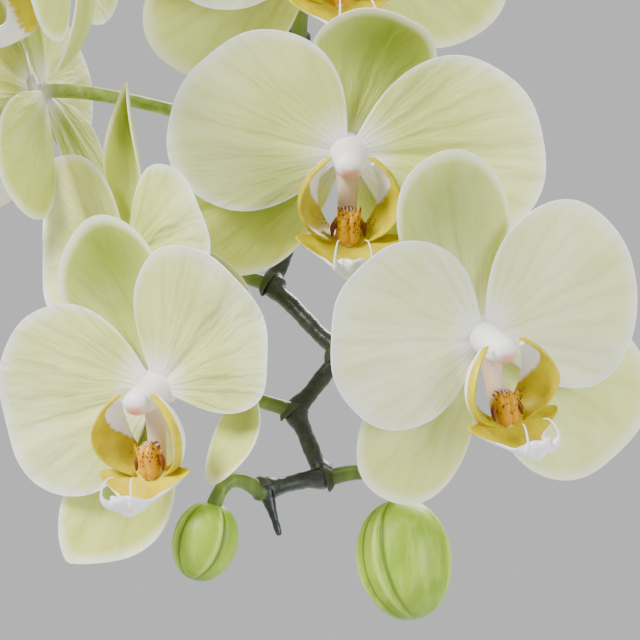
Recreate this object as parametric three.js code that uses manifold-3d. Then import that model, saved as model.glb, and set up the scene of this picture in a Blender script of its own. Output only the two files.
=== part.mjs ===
// A moth orchid growing in a clay pot, in millimetres, +Z up, the pot standing on z = 0.
// The pot holds a bed of bark. A short crown stands on the bark with thick roots and five leaves.
// One flower spike climbs from the crown, arches over and hangs to the right with seven flowers and two
// buds in two ranks. Each flower has three sepals behind, two broad petals before them, a lip, and a
// column that is one piece with its stalk.
import * as THREE from "three";
import { mergeVertices } from "three/addons/utils/BufferGeometryUtils.js";
import Module from "manifold-3d";

const wasm = await Module();
wasm.setup();

// Driving dimensions

const FIT = 0.4; // gap left between neighbouring pieces

const POT = {
  height: 118,
  rimRadius: 68,
  rimHeight: 24,
  rimStep: 4.5,
  baseRadius: 44,
  wall: 5.5,
  floor: 7,
  sides: 28,
};
const BARK = { top: 101, dome: 4, sides: 24 };
const CROWN = { bottom: 106, top: 139, radius: 8.5, sides: 12 };
const ROOT = { radius: 2.7, sides: 6, steps: 10 };
const LEAF = { thickness: 2.6, base: 11, along: 8, across: 4 };

// One row for each leaf, oldest first: heading, length, width, the height of its base on the crown,
// and its slope where it leaves the crown and at its tip.
const LEAVES = [
  { heading: 196, length: 176, width: 74, foot: 116, rise: 26, fall: -38 },
  { heading: 6, length: 196, width: 80, foot: 120, rise: 32, fall: -34 },
  { heading: 172, length: 186, width: 78, foot: 126, rise: 44, fall: -22 },
  { heading: -16, length: 158, width: 70, foot: 131, rise: 54, fall: 2 },
  { heading: 186, length: 92, width: 44, foot: 137, rise: 74, fall: 44 },
];

// Roots that leave the crown, each a list of [heading, distance from the axis, height].
const ROOTS = [
  [
    [250, 5, 112], [252, 26, 108], [256, 46, 112], [260, 61, 123], [262, 72, 119], [263, 75, 97],
    [266, 74, 76],
  ],
  [[300, 5, 111], [305, 24, 107.6], [312, 40, 108.5], [322, 50, 107.6]],
  [[110, 5, 112], [105, 28, 108], [98, 48, 113], [94, 61, 124], [92, 72, 119], [90, 75, 100]],
  [[60, 5, 110], [52, 24, 107.6], [40, 40, 107.6], [30, 50, 107.4]],
];

// The spike: its stalk from the crown over the arch, then the joints where flowers leave it.
const STALK = [
  [2, 19, 118], [4, 24, 150], [8, 24, 230], [6, 22, 330], [10, 19, 420], [32, 17, 500],
  [78, 14, 551], [122, 10, 546],
];
const JOINTS = {
  seventh: [149, 4, 503],
  sixth: [159, 0, 476],
  fifth: [150, -12, 449],
  fourth: [160, -22, 430],
  third: [153, -36, 409],
  second: [170, -48, 391],
  first: [159, -54, 377],
  largeBud: [165.5, -60, 361],
  smallBud: [151.5, -66, 358],
};
const SPIKE_TIP = [154.8, -68, 347.4];
const SPIKE = { stalkRadius: 3, axisRadius: 2.2, tipRadius: 1.1, jointRadius: 3.3, sides: 6 };
const STALK_JOINTS = [0.2, 0.42, 0.66]; // places of the bare joints, as shares of the stalk
const PEDICEL = { radius: 1.85, sides: 6, steps: 8, straight: 15 };

// A sepal or petal: its length, the spread of each side in degrees, how blunt its outline is, where its
// midrib points, its depth in the flower, its tilt, its bend from base to tip, its cup from side to side,
// its twist, how far it sweeps round in its own plane, and how sharply its tip is pointed.
const TEPAL = { thickness: 0.9, claw: 3.3, edge: 0.96, along: 3, across: 8 };
const DORSAL = {
  length: 47.5, left: 37, right: 37, blunt: 0.36, heading: 90, layer: -1.8, tilt: -9, bend: 20, cup: 22,
  twist: 0, sweep: 0, point: 0,
};
const SIDE_SEPAL = {
  length: 48, left: 37, right: 37, blunt: 0.38, heading: -43, layer: -1.8, tilt: -10, bend: 12, cup: 8,
  twist: 0, sweep: 0, point: 0,
};
const PETAL = {
  length: 46.5, left: 78, right: 57, blunt: 0.44, heading: 8, layer: 0.9, tilt: 1, bend: -7, cup: 6,
  twist: 0, sweep: 0, point: 0,
};

// Each flower: where its centre is, how it turns to the side, nods and leans, its size, the joint that
// its stalk grows from, how its lip leans from the rest, and what sets its own tepals apart.
const FLOWERS = [
  {
    name: "flower_1", joint: "first", at: [125.4, -74, 383.6], yaw: -30, nod: 8, lean: 22, size: 1,
    lipLean: -20,
    dorsal_sepal: { heading: 94, length: 45.5 },
    left_petal: { length: 49.5, heading: 174, left: 50, right: 74 },
    right_petal: { tilt: 5, bend: 20, length: 45, left: 70, heading: 14 },
    left_lateral_sepal: { heading: 212, length: 57, point: 0.5, left: 42, right: 24, tilt: -6, blunt: 0.42 },
    right_lateral_sepal: {
      heading: -25, length: 45, bend: 18, tilt: -5, cup: 22, twist: 40, sweep: -124, layer: -3.2,
      left: 20, right: 18,
    },
  },
  {
    name: "flower_2", joint: "second", at: [204.6, -76, 395.8], yaw: 27, nod: 5, lean: 12, size: 1,
    dorsal_sepal: { heading: 95 },
    left_petal: { length: 42, left: 62 },
    right_petal: { length: 47.5, left: 70 },
    left_lateral_sepal: { heading: 226, length: 46 },
    right_lateral_sepal: { heading: -35, length: 56, tilt: -9, layer: -2.6, right: 50 },
  },
  {
    name: "flower_3", joint: "third", at: [116.6, -46, 415.6], yaw: -62, nod: 4, lean: 3, size: 1,
    dorsal_sepal: { cup: 40, twist: -16, tilt: -4, bend: 8, layer: -2.6, length: 45, left: 42, right: 36 },
    left_petal: { tilt: 11, length: 45 },
    right_petal: { length: 42, left: 55 },
    right_lateral_sepal: { heading: -34, length: 45, tilt: -24 },
  },
  {
    name: "flower_4", joint: "fourth", at: [171.8, -54, 442.1], yaw: 4, nod: 8, lean: 0, size: 1.05,
    dorsal_sepal: { heading: 72, length: 39, left: 46, right: 42, tilt: -35, bend: 84, cup: 12, layer: -2.6 },
    left_petal: { length: 43.5, heading: 169, left: 53 },
    right_petal: { length: 48.5, heading: -2, left: 64 },
    left_lateral_sepal: { heading: 203, length: 48, left: 46 },
  },
  {
    name: "flower_5", joint: "fifth", at: [91, -28, 459.5], yaw: -110, nod: 10, lean: 0, size: 0.96,
    left_petal: { tilt: 8 },
    left_lateral_sepal: { heading: 229, length: 39 },
  },
  {
    name: "flower_6", joint: "sixth", at: [166.5, -33, 506], yaw: 16, nod: 10, lean: 6, size: 1.1,
    left_petal: { heading: 183, length: 44, tilt: 6, left: 56 },
    left_lateral_sepal: { heading: 219, length: 52 },
    right_lateral_sepal: { heading: -32, length: 52 },
  },
  {
    name: "flower_7", joint: "seventh", at: [99, -58, 498], yaw: -104, nod: 8, lean: 10, size: 0.98,
    left_lateral_sepal: { heading: 244, tilt: -20, bend: 76, length: 42, left: 28, layer: -2.8 },
  },
];

// Each bud hangs by its stalk: where its middle is, its length and width, and how it leans.
const BUDS = [
  { name: "large_bud", joint: "largeBud", at: [186, -66, 340.6], length: 30, width: 23, lean: 8 },
  {
    name: "small_bud", joint: "smallBud", at: [136.9, -75, 345.8], length: 19.5, width: 16, lean: -14,
    nod: 4,
  },
];

const COLOURS = {
  clay: 0xb5673f, bark: 0x5b3a24, root: 0xa9b39a, leaf: 0x2f5a2a, spike: 0x4b4f45, sepal: 0xd6dda2,
  petal: 0xe9eccf, lip: 0xe0b81c, column: 0xf3ece6, bud: 0xb9cf55,
};

// Helpers

const radians = THREE.MathUtils.degToRad;
const vector = (point) => new THREE.Vector3(...point);

/** A closed surface whose vertices are shared, which is what a boolean and a solid both need. */
function sealed(geometry) {
  const bare = geometry.index ? geometry.toNonIndexed() : geometry.clone();
  bare.deleteAttribute("normal");
  bare.deleteAttribute("uv");
  return mergeVertices(bare, 1e-3);
}

function toManifold(geometry) {
  const shell = sealed(geometry);
  return new wasm.Manifold(
    new wasm.Mesh({
      numProp: 3,
      vertProperties: new Float32Array(shell.attributes.position.array),
      triVerts: new Uint32Array(shell.index.array),
    }),
  );
}

/** Several closed geometries grown together as one. */
function joined(geometries) {
  const whole = geometries.map(toManifold).reduce((sum, next) => sum.add(next));
  const mesh = whole.getMesh();
  const geometry = new THREE.BufferGeometry();
  geometry.setAttribute("position", new THREE.BufferAttribute(new Float32Array(mesh.vertProperties), 3));
  geometry.setIndex(new THREE.BufferAttribute(new Uint32Array(mesh.triVerts), 1));
  return geometry;
}

/** A named piece of one colour. */
function piece(name, geometry, colour, roughness = 0.6) {
  geometry.computeVertexNormals();
  const material = new THREE.MeshStandardMaterial({ color: colour, roughness, metalness: 0 });
  const mesh = new THREE.Mesh(geometry, material);
  mesh.name = name;
  return mesh;
}

/** A thin closed sheet: surface(along 0 to 1, across -1 to 1) is its middle, thickened both ways. */
function sheet(surface, thickness, alongSteps, acrossSteps) {
  const block = new THREE.BoxGeometry(1, 2, 1, alongSteps, acrossSteps, 1);
  const places = block.attributes.position;
  const nudge = 1e-3;
  for (let i = 0; i < places.count; i++) {
    const along = places.getX(i) + 0.5;
    const across = places.getY(i);
    const middle = surface(along, across);
    const down = surface(along + nudge, across).sub(surface(along - nudge, across));
    const side = surface(along, across + nudge).sub(surface(along, across - nudge));
    const normal = down.cross(side).normalize();
    middle.addScaledVector(normal, places.getZ(i) * thickness);
    places.setXYZ(i, middle.x, middle.y, middle.z);
  }
  return block;
}

/** A round rod of even thickness along a smooth line through the points. */
function rod(points, radius, sides, steps) {
  const section = new THREE.Shape();
  for (let i = 0; i < sides; i++) {
    const angle = (i / sides) * 2 * Math.PI;
    const corner = [radius * Math.cos(angle), radius * Math.sin(angle)];
    if (i === 0) section.moveTo(...corner);
    else section.lineTo(...corner);
  }
  section.closePath();
  const extrudePath =
    points instanceof THREE.Curve ? points : new THREE.CatmullRomCurve3(points, false, "centripetal");
  return new THREE.ExtrudeGeometry(section, { steps, extrudePath, bevelEnabled: false, curveSegments: 1 });
}

/** A knob: a small ball that thickens a joint. */
function knob(at, radius) {
  const ball = new THREE.SphereGeometry(radius, 8, 4);
  ball.translate(...at);
  return ball;
}

/** Distance run along and across a strip that bends evenly through an angle, for a share of its length. */
function evenBend(length, start, turn, share) {
  if (Math.abs(turn) < 1e-4) {
    return [length * share * Math.cos(start), length * share * Math.sin(start)];
  }
  const now = start + turn * share;
  const radius = length / turn;
  return [radius * (Math.sin(now) - Math.sin(start)), radius * (Math.cos(start) - Math.cos(now))];
}

/** The share of a sheet's turn in its own plane that is done by then: it turns about its middle. */
function swung(share) {
  const t = Math.min(1, Math.max(0, (share - 0.3) / 0.4));
  return t * t * (3 - 2 * t);
}

/** Distance run ahead and aside by a line that is straight at both ends and turns about its middle. */
function swept(length, turn, share) {
  const steps = 24;
  let ahead = 0;
  let aside = 0;
  for (let i = 0; i < steps; i++) {
    const angle = turn * swung(((i + 0.5) / steps) * share);
    ahead += Math.cos(angle);
    aside += Math.sin(angle);
  }
  return [(length * share * ahead) / steps, (length * share * aside) / steps];
}

// Pot, bark, crown, roots and leaves

function makePot() {
  const { height, rimRadius, rimHeight, rimStep, baseRadius, wall, floor, sides } = POT;
  const shoulder = height - rimHeight;
  const profile = [
    [0, 0],
    [baseRadius - 1.5, 0],
    [baseRadius, 1.5],
    [rimRadius - rimStep, shoulder],
    [rimRadius - 1, shoulder],
    [rimRadius, shoulder + 1],
    [rimRadius, height - 2],
    [rimRadius - 2, height],
    [rimRadius - wall, height],
    [rimRadius - wall - 1.5, height - 2],
    [baseRadius - wall, floor],
    [0, floor],
  ].map(([r, z]) => new THREE.Vector2(r, z));
  return piece("pot", new THREE.LatheGeometry(profile, sides).rotateX(Math.PI / 2), COLOURS.clay, 0.9);
}

function makeBark() {
  const { rimRadius, height, baseRadius, wall, floor } = POT;
  const gap = 3 * FIT;
  const inside = (z) => {
    const share = (z - floor) / (height - 2 - floor);
    return THREE.MathUtils.lerp(baseRadius - wall, rimRadius - wall - 1.5, share) - gap;
  };
  const low = floor + gap;
  const profile = [
    [0, low],
    [inside(low), low],
    [inside(BARK.top), BARK.top],
    [inside(BARK.top) * 0.6, BARK.top + BARK.dome * 0.7],
    [0, BARK.top + BARK.dome],
  ].map(([r, z]) => new THREE.Vector2(r, z));
  const bed = new THREE.LatheGeometry(profile, BARK.sides).rotateX(Math.PI / 2);
  return piece("bark_bed", bed, COLOURS.bark, 0.95);
}

function makeCrown() {
  const { bottom, top, radius, sides } = CROWN;
  const profile = [
    [0, bottom],
    [radius * 0.8, bottom],
    [radius, bottom + 4],
    [radius * 0.85, top - 10],
    [radius * 0.4, top],
    [0, top],
  ].map(([r, z]) => new THREE.Vector2(r, z));
  const stem = new THREE.LatheGeometry(profile, sides).rotateX(Math.PI / 2);
  const roots = ROOTS.map((route) => {
    const points = route.map(([heading, distance, z]) => {
      const angle = radians(heading);
      return new THREE.Vector3(distance * Math.cos(angle), distance * Math.sin(angle), z);
    });
    return rod(points, ROOT.radius, ROOT.sides, ROOT.steps);
  });
  return piece("crown_and_roots", joined([stem, ...roots]), COLOURS.root, 0.7);
}

/** Half the width of a leaf, as a share of its greatest, from its clasping base to its blunt tip. */
function leafOutline(along) {
  const tip = Math.sqrt(Math.max(1 - ((along - 0.5) / 0.503) ** 2, 0));
  if (along > 0.5) return tip;
  return THREE.MathUtils.lerp(0.3, 1, Math.sin(Math.max(along, 0) * Math.PI) ** 0.9);
}

function makeLeaf(leaf, number) {
  const heading = radians(leaf.heading);
  const out = new THREE.Vector3(Math.cos(heading), Math.sin(heading), 0);
  const side = new THREE.Vector3(-Math.sin(heading), Math.cos(heading), 0);
  const up = new THREE.Vector3(0, 0, 1);
  const start = radians(leaf.rise);
  const turn = radians(leaf.fall - leaf.rise);
  const surface = (along, across) => {
    const [run, climb] = evenBend(leaf.length, start, turn, along);
    const slope = start + turn * along;
    const half = (leaf.width / 2) * leafOutline(along);
    const channel = radians(THREE.MathUtils.lerp(40, 9, Math.min(along * 2.5, 1)));
    const lift = half * Math.sin(channel) * (Math.sqrt(across * across + 0.02) - 0.14);
    return out
      .clone()
      .multiplyScalar(LEAF.base + run - lift * Math.sin(slope))
      .addScaledVector(side, half * across * Math.cos(channel))
      .addScaledVector(up, leaf.foot + climb + lift * Math.cos(slope));
  };
  const blade = sheet(surface, LEAF.thickness, LEAF.along, LEAF.across);
  return piece("leaf_" + (number + 1), blade, COLOURS.leaf, 0.35);
}

// Flower spike

function makeSpike() {
  const arch = [...STALK, JOINTS.seventh].map(vector);
  const axis = [...Object.values(JOINTS), SPIKE_TIP].map(vector);
  const corners = [];
  axis.forEach((point, i) => {
    const next = axis[i + 1];
    corners.push(point);
    if (next) corners.push(point.clone().lerp(next, 0.3), point.clone().lerp(next, 0.7));
  });
  const stalkLine = new THREE.CatmullRomCurve3(arch, false, "centripetal");
  const grown = [
    rod(stalkLine, SPIKE.stalkRadius, SPIKE.sides, 34),
    rod(corners.slice(0, -2), SPIKE.axisRadius, SPIKE.sides, 34),
    rod(axis.slice(-2), SPIKE.tipRadius, SPIKE.sides, 2),
    ...Object.values(JOINTS).map((at) => knob(at, SPIKE.jointRadius)),
    ...STALK_JOINTS.map((share) => knob(stalkLine.getPointAt(share).toArray(), SPIKE.stalkRadius + 1)),
  ];
  return piece("flower_spike", joined(grown), COLOURS.spike, 0.45);
}

// Flowers

/** The middle surface of a sepal or petal, in its flower's own frame: x to the right, y up, z outwards. */
function tepalSurface(shape) {
  const heading = radians(shape.heading);
  const out = new THREE.Vector3(Math.cos(heading), Math.sin(heading), 0);
  const side = new THREE.Vector3(-Math.sin(heading), Math.cos(heading), 0);
  const front = new THREE.Vector3(0, 0, 1);
  const tilt = radians(shape.tilt);
  const bend = radians(shape.bend);
  const cup = radians(shape.cup);
  const sweep = radians(shape.sweep);
  return (along, across) => {
    const fan = radians(across > 0 ? shape.left : shape.right) * across;
    const pointed = 1 - shape.point * Math.abs(Math.sin(fan)) * Math.exp(-((fan / 0.5) ** 2));
    const reach = shape.length * Math.cos((Math.PI / 2) * TEPAL.edge * across) ** shape.blunt * pointed;
    const r = TEPAL.claw + (reach - TEPAL.claw) * along;
    const share = (r * Math.cos(fan)) / shape.length;
    const [run, rise] = evenBend(shape.length, tilt, bend, share);
    const half = shape.length * 0.5;
    const [width, lift] = evenBend(half, 0, cup, Math.abs(r * Math.sin(fan)) / half);
    const slope = tilt + bend * share;
    const turn = radians(shape.twist) * share;
    const sideways = Math.sign(fan) * width;
    const across2 = sideways * Math.cos(turn) - lift * Math.sin(turn);
    const lift2 = sideways * Math.sin(turn) + lift * Math.cos(turn);
    const gone = (run - lift2 * Math.sin(slope)) / shape.length;
    const [ahead, aside] = swept(shape.length, sweep, gone);
    const angle = sweep * swung(gone);
    return out
      .clone()
      .multiplyScalar(ahead - across2 * Math.sin(angle))
      .addScaledVector(side, aside + across2 * Math.cos(angle))
      .addScaledVector(front, shape.layer + rise + lift2 * Math.cos(slope));
  };
}

function makeTepal(name, shape, colour) {
  return piece(name, sheet(tepalSurface(shape), TEPAL.thickness, TEPAL.along, TEPAL.across), colour, 0.5);
}

/** The same shape on the other side of the flower. */
const mirrored = (shape) => ({
  ...shape, heading: 180 - shape.heading, left: shape.right, right: shape.left, twist: -shape.twist,
  sweep: -shape.sweep,
});

// The lip: a claw below the column, a callus, two side lobes that stand round the column, and a keeled
// front lobe with a wing on each side.
const LIP = {
  claw: [[0, -5.2, 2.6], [0, -12, 3.2], [0, -19, 5]],
  clawRadius: 1.9,
  callus: { at: [0, -16.5, 6.6], size: [6.6, 8, 4.6] },
  sideLobe: {
    line: [[3.4, -20.8, 5], [8.2, -17.2, 6.4], [10.8, -11.4, 8.2], [9.4, -5.2, 9.2], [6, -1.2, 9.8]],
    halfWidth: 6.2,
    flare: 27,
  },
  frontLobe: {
    root: [0, -20.4, 5.4], tip: [0, -27.5, 23], sag: 3.2, wing: 8.4, wingAt: 0.24, wingSpan: 0.17,
    beak: 3, keel: 4,
  },
};

function sideLobeSurface(side) {
  const { halfWidth, flare } = LIP.sideLobe;
  const line = new THREE.CatmullRomCurve3(LIP.sideLobe.line.map(vector), false, "centripetal");
  const across3 = new THREE.Vector3(Math.sin(radians(flare)), 0, Math.cos(radians(flare)));
  return (along, across) => {
    const share = THREE.MathUtils.clamp(along, 0, 1);
    const half = halfWidth * Math.sin(Math.PI * (0.16 + 0.8 * share)) ** 0.8;
    const point = line.getPointAt(share).addScaledVector(across3, half * across * side);
    return point.setX(point.x * side);
  };
}

function frontLobeSurface(along, across) {
  const { root, tip, sag, wing, wingAt, wingSpan, beak, keel } = LIP.frontLobe;
  const point = vector(root).lerp(vector(tip), along);
  const wings = wing * Math.exp(-(((along - wingAt) / wingSpan) ** 2));
  const spread = wings + beak * Math.max(1 - along, 0) ** 0.6 + 0.5;
  const raised = (keel * Math.abs(across) ** 1.5 * spread) / (wing + beak);
  point.x = spread * across;
  point.y += raised - sag * Math.sin(Math.PI * Math.min(along, 1));
  return point;
}

function makeLip(name) {
  const { claw, clawRadius, callus } = LIP;
  const block = new THREE.BoxGeometry(...callus.size).translate(...callus.at);
  const parts = [
    rod(claw.map(vector), clawRadius, 6, 3),
    block,
    sheet(sideLobeSurface(1), 1, 5, 2),
    sheet(sideLobeSurface(-1), 1, 5, 2),
    sheet(frontLobeSurface, 1.1, 6, 4),
  ];
  return piece(name, joined(parts), COLOURS.lip, 0.45);
}

// The column leans a little below straight ahead and widens to its rounded cap.
const COLUMN = { length: 12, base: 2.9, waist: 2.8, head: 3.9, lean: 13 };

/** A column with the stalk behind it, which runs back, then curves to the joint it grows from. */
function makeColumn(name, joint) {
  const { length, base, waist, head, lean } = COLUMN;
  const profile = [
    [0, -1.5],
    [base, -0.5],
    [waist, length * 0.35],
    [head, length * 0.7],
    [head * 0.75, length * 0.93],
    [0, length],
  ].map(([r, z]) => new THREE.Vector2(r, z));
  const body = new THREE.LatheGeometry(profile, 8).rotateX(Math.PI / 2 + radians(lean));
  const stalk = stalkTo(new THREE.Vector3(0, 0, 0.5), new THREE.Vector3(0, 0, -1), joint);
  return piece(name, joined([body, stalk]), COLOURS.column, 0.4);
}

/** A stalk from a flower or bud to its joint on the spike, stopping just short of the joint's knob. */
function stalkTo(start, back, joint) {
  const reach = joint.clone().sub(start);
  const short = SPIKE.jointRadius + 3.5 * FIT;
  const end = joint.clone().addScaledVector(reach.normalize(), -short);
  const away = start.clone().addScaledVector(back, PEDICEL.straight);
  const near = end.clone().lerp(away, 0.35);
  const line = new THREE.CubicBezierCurve3(start, away, near, end);
  return rod(line, PEDICEL.radius, PEDICEL.sides, PEDICEL.steps);
}

/** Nested groups that stand a frame of x right, y up, z outwards at a place, turned, nodding and leaning. */
function stand({ at, yaw = 0, nod = 0, lean = 0, size = 1 }) {
  const turn = new THREE.Group();
  const tip = new THREE.Group();
  const roll = new THREE.Group();
  turn.position.set(...at);
  turn.rotation.z = radians(yaw);
  tip.rotation.x = radians(90 + nod);
  roll.rotation.z = radians(lean);
  roll.scale.setScalar(size);
  turn.add(tip);
  tip.add(roll);
  turn.updateMatrixWorld(true);
  return { outer: turn, inner: roll };
}

function makeFlower(flower) {
  const { outer, inner } = stand(flower);
  const hanging = new THREE.Group();
  hanging.rotation.z = radians(flower.lipLean ?? 0);
  inner.add(hanging);
  outer.updateMatrixWorld(true);
  const joint = hanging.worldToLocal(vector(JOINTS[flower.joint]));
  const label = (part) => flower.name + "_" + part;
  const tepal = (part, kind, colour) => makeTepal(label(part), { ...kind, ...flower[part] }, colour);
  inner.add(
    tepal("dorsal_sepal", DORSAL, COLOURS.sepal),
    tepal("left_lateral_sepal", mirrored(SIDE_SEPAL), COLOURS.sepal),
    tepal("right_lateral_sepal", SIDE_SEPAL, COLOURS.sepal),
    tepal("left_petal", mirrored(PETAL), COLOURS.petal),
    tepal("right_petal", PETAL, COLOURS.petal),
  );
  hanging.add(makeLip(label("lip")), makeColumn(label("column_and_stalk"), joint));
  return outer;
}

// Buds

function makeBud(bud) {
  const { outer, inner } = stand(bud);
  const joint = inner.worldToLocal(vector(JOINTS[bud.joint]));
  const half = bud.length / 2;
  const profile = [];
  const rings = 8;
  for (let i = 0; i <= rings; i++) {
    const angle = Math.PI * (i / rings);
    const fullness = 1 + 0.1 * Math.cos(angle) - 0.06 * Math.sin(angle * 2);
    const r = i % rings === 0 ? 0 : (bud.width / 2) * Math.sin(angle) ** 0.85 * fullness ** 0.3;
    profile.push(new THREE.Vector2(r, -half * Math.cos(angle)));
  }
  const body = new THREE.LatheGeometry(profile, 12);
  const stalk = stalkTo(new THREE.Vector3(0, half - 2, 0), new THREE.Vector3(0, 0.8, 0), joint);
  inner.add(piece(bud.name, joined([body, stalk]), COLOURS.bud, 0.4));
  return outer;
}

const orchid = new THREE.Group();
orchid.add(
  makePot(),
  makeBark(),
  makeCrown(),
  ...LEAVES.map(makeLeaf),
  makeSpike(),
  ...FLOWERS.map(makeFlower),
  ...BUDS.map(makeBud),
);
export default orchid;
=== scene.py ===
import math
import random

import bpy
import numpy as np
from mathutils import Matrix, Vector


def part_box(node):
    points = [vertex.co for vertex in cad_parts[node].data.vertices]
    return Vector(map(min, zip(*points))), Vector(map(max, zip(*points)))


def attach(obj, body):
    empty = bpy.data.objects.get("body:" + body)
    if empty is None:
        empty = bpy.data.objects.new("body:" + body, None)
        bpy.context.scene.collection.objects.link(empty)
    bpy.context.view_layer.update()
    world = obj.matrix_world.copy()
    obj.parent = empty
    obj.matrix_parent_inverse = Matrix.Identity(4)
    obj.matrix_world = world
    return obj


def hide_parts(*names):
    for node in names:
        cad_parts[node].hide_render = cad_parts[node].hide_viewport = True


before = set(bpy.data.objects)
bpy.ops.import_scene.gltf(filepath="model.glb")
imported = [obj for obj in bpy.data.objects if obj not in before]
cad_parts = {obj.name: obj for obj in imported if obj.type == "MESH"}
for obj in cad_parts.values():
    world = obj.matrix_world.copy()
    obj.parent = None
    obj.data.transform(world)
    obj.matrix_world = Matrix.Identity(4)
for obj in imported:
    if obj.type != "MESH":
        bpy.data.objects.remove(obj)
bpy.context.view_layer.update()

# The camera stands level in front of the hanging spray, seven tenths of a metre away, with a long lens,
# so that the lower flowers and the two buds fill its view.
spray = Vector((0.165, -0.060, 0.400))
camera = bpy.data.objects.new("camera", bpy.data.cameras.new("camera"))
camera.location = spray + Vector((0, -0.7, 0))
camera.rotation_euler = (math.radians(90), 0, 0)
camera.data.sensor_width = 36
camera.data.lens = 157.5
camera.data.clip_start = 0.01
bpy.context.scene.collection.objects.link(camera)
bpy.context.scene.camera = camera


# The studio: a pale round floor that fades into pale air, a broad soft lamp high on the left, a weaker
# one low on the right, and one behind that lights the edges of the flowers.


def tone(code):
    """A colour written as it looks on a screen, turned into amounts of light."""
    parts = [int(code[i:i + 2], 16) / 255 for i in (0, 2, 4)]
    return (*[p / 12.92 if p <= 0.04045 else ((p + 0.055) / 1.055) ** 2.4 for p in parts], 1.0)


def full_turn(count):
    """So many angles, evenly spread round a circle."""
    return np.linspace(0, 2 * math.pi, count + 1)[:-1]


class Wire:
    """A socket in a material's nodes, so that what is worked out from it is written as sums."""

    def __init__(self, tree, socket=None):
        self.tree = tree
        self.socket = socket

    def node(self, kind, settings=None, inputs=None, output=0):
        """Adds a node: its settings are made first, then its sockets get values or wires."""
        made = self.tree.nodes.new("ShaderNode" + kind)
        for key, value in (settings or {}).items():
            setattr(made, key, value)
        for key, value in (inputs or {}).items():
            if isinstance(value, Wire):
                self.tree.links.new(value.socket, made.inputs[key])
            else:
                made.inputs[key].default_value = value
        return Wire(self.tree, made.outputs[output])

    def maths(self, operation, *terms):
        return self.node("Math", {"operation": operation}, dict(enumerate(terms)))

    def __add__(self, other):
        return self.maths("ADD", self, other)

    def __radd__(self, other):
        return self.maths("ADD", other, self)

    def __sub__(self, other):
        return self.maths("SUBTRACT", self, other)

    def __rsub__(self, other):
        return self.maths("SUBTRACT", other, self)

    def __mul__(self, other):
        return self.maths("MULTIPLY", self, other)

    def __rmul__(self, other):
        return self.maths("MULTIPLY", other, self)

    def __pow__(self, other):
        return self.maths("POWER", self, other)

    def rise(self, low, high):
        """0 up to low, 1 from high on, and a smooth rise between them."""
        return self.node("MapRange", {"interpolation_type": "SMOOTHSTEP"}, {0: self, 1: low, 2: high})

    def tint(self, first, second):
        """The first colour where this is 0 and the second where it is 1."""
        first, second = (tone(c) if isinstance(c, str) else c for c in (first, second))
        return self.node("Mix", {"data_type": "RGBA"}, {0: self, 6: first, 7: second}, 2)

    def blend(self, first, second):
        """The first colour where this is low and the second where it is high."""
        return self.rise(0.3, 0.7).tint(first, second)

    def marks(self, *names):
        """Numbers that the mesh carries at each of its points."""
        return [self.node("Attribute", {"attribute_name": name}, output="Fac") for name in names]

    def noise(self, scale, detail=3.0, place=None, stretch=None, roughness=0.5):
        """Cloudy noise between 0 and 1, so many to a metre."""
        place = place or self.node("TexCoord", output="Object")
        if stretch:
            place = place.node("VectorMath", {"operation": "MULTIPLY"}, {0: place, 1: stretch})
        fixed = {"Scale": scale, "Detail": detail, "Roughness": roughness}
        return place.node("TexNoise", {}, {"Vector": place, **fixed})

    def bumps(self, height, depth, strength):
        """A surface raised by height, which runs from 0 to 1, through so many metres."""
        return self.node("Bump", {}, {"Height": height, "Distance": depth, "Strength": strength})


def finish(name, paint, specular, glow=0.0, spread=(1.0, 1.0, 1.0), deep=0.001):
    """A material: paint gives its colour, roughness and bumps; glow is how much light passes just under
    its surface, with how far each colour spreads there."""
    material = bpy.data.materials.new(name)
    material.use_nodes = True
    tree = material.node_tree
    tree.nodes.clear()
    start = Wire(tree)
    colour, roughness, normal = paint(start)
    surface = start.node("BsdfPrincipled", {}, {
        "Base Color": colour, "Roughness": roughness, "Normal": normal, "Specular IOR Level": specular,
        "Subsurface Weight": glow, "Subsurface Radius": spread, "Subsurface Scale": deep,
    })
    output = tree.nodes.new("ShaderNodeOutputMaterial")
    tree.links.new(surface.socket, output.inputs["Surface"])
    return material


air = tone("dadddb")
air_strength = 0.85
floor_radius = 1.5
floor_sides = 96

world = bpy.data.worlds.new("pale_air")
world.use_nodes = True
world.node_tree.nodes["Background"].inputs["Color"].default_value = air
world.node_tree.nodes["Background"].inputs["Strength"].default_value = air_strength
bpy.context.scene.world = world

floor_mesh = bpy.data.meshes.new("studio_floor")
around = full_turn(floor_sides)
ring = [(floor_radius * math.cos(a), floor_radius * math.sin(a), 0) for a in around]
slices = [(0, i + 1, (i + 1) % floor_sides + 1) for i in range(floor_sides)]
floor_mesh.from_pydata([(0, 0, 0)] + ring, [], slices)
floor_paint = bpy.data.materials.new("studio_floor")
floor_paint.use_nodes = True
floor_wire = Wire(floor_paint.node_tree)
floor_paint.node_tree.nodes.clear()
floor_place = floor_wire.node("TexCoord", output="Object")
floor_reach = floor_place.node("VectorMath", {"operation": "LENGTH"}, {0: floor_place}, "Value")
floor_fade = floor_reach.rise(0.45, 1.4)
floor_matt = floor_wire.node("BsdfPrincipled", {}, {"Base Color": tone("c9cbc8"), "Roughness": 0.9})
floor_glow = floor_wire.node("Emission", {}, {"Color": air, "Strength": air_strength})
floor_mix = floor_wire.node("MixShader", {}, {0: floor_fade, 1: floor_matt, 2: floor_glow})
floor_out = floor_paint.node_tree.nodes.new("ShaderNodeOutputMaterial")
floor_paint.node_tree.links.new(floor_mix.socket, floor_out.inputs["Surface"])
floor_mesh.materials.append(floor_paint)
studio_floor = bpy.data.objects.new("studio_floor", floor_mesh)
bpy.context.scene.collection.objects.link(studio_floor)

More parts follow.
